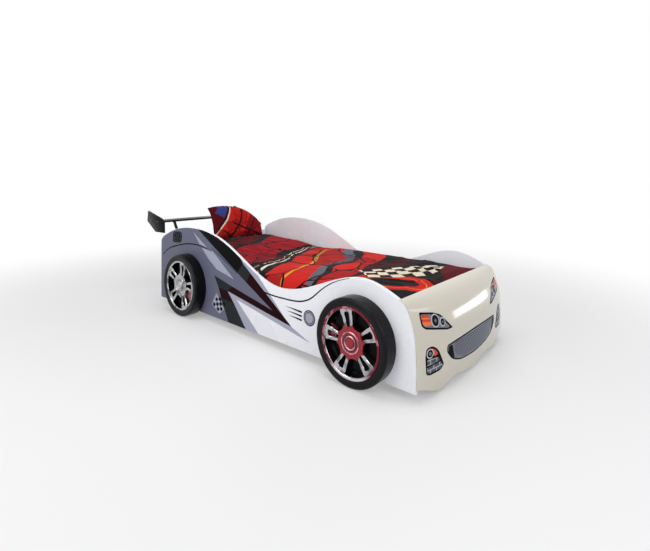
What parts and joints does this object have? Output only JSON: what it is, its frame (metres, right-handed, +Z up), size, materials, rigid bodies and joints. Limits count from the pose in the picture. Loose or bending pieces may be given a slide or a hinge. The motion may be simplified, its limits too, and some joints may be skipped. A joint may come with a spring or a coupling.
{
  "type": "car bed for children",
  "caption": "Single bed for a child shaped as a sports car: humped side panels, moulded nose, fixed wheels, rear wing, slatted base, mattress, duvet and pillow.",
  "frame": {"origin": "on the floor, under the middle of the bed's overall box", "axes": "+X along the bed towards the nose, +Y to the bed's left side, +Z up"},
  "size_m": [2.5305, 1.112, 0.6728],
  "materials": {
    "white_lacquer": "semi-gloss lacquer with a printed film",
    "white_board": "semi-gloss lacquered board",
    "nose_gloss": "gloss moulded plastic with a printed film",
    "raw_wood": "planed pine",
    "slat_wood": "planed birch ply",
    "webbing": "woven strap",
    "zinc_steel": "zinc plated",
    "tyre_black": "satin moulded plastic",
    "core_black": "matte painted board",
    "rim_chrome": "bright plated plastic",
    "cap_red": "gloss red with bright rings",
    "wing_lacquer": "semi-gloss dark lacquer",
    "strut_black": "satin dark paint",
    "mattress_cover": "quilted ticking",
    "duvet_cloth": "printed cotton",
    "pillow_cloth": "printed cotton"
  },
  "bodies": {
    "bed": {"side_panel_right": "white_lacquer", "side_panel_left": "white_lacquer", "head_panel": "white_board", "foot_panel": "white_board", "nose_moulding": "nose_gloss", "nose_cleat_right": "raw_wood", "nose_cleat_left": "raw_wood", "head_rail": "raw_wood", "foot_rail": "raw_wood", "side_rail_right": "raw_wood", "side_rail_left": "raw_wood", "slats": "slat_wood", "slat_webbing": "webbing", "corner_blocks": "raw_wood", "corner_angles": "zinc_steel", "tyres": "tyre_black", "wheel_cores": "core_black", "wheel_rims": "rim_chrome", "hub_caps": "cap_red", "wing_board": "wing_lacquer", "end_plate_right": "wing_lacquer", "end_plate_left": "wing_lacquer", "wing_strut_right": "strut_black", "wing_strut_left": "strut_black"},
    "bedding": {"mattress": "mattress_cover", "duvet": "duvet_cloth"},
    "pillow": {"pillow": "pillow_cloth"}
  },
  "joints": [
    {"name": "bedding_lift", "type": "slide", "parent": "bed", "child": "bedding", "axis": [0, 0, 1], "range_m": [0, 0.4]},
    {"name": "pillow_lift", "type": "slide", "parent": "bedding", "child": "pillow", "axis": [0, 0, 1], "range_m": [0, 0.3]}
  ]
}
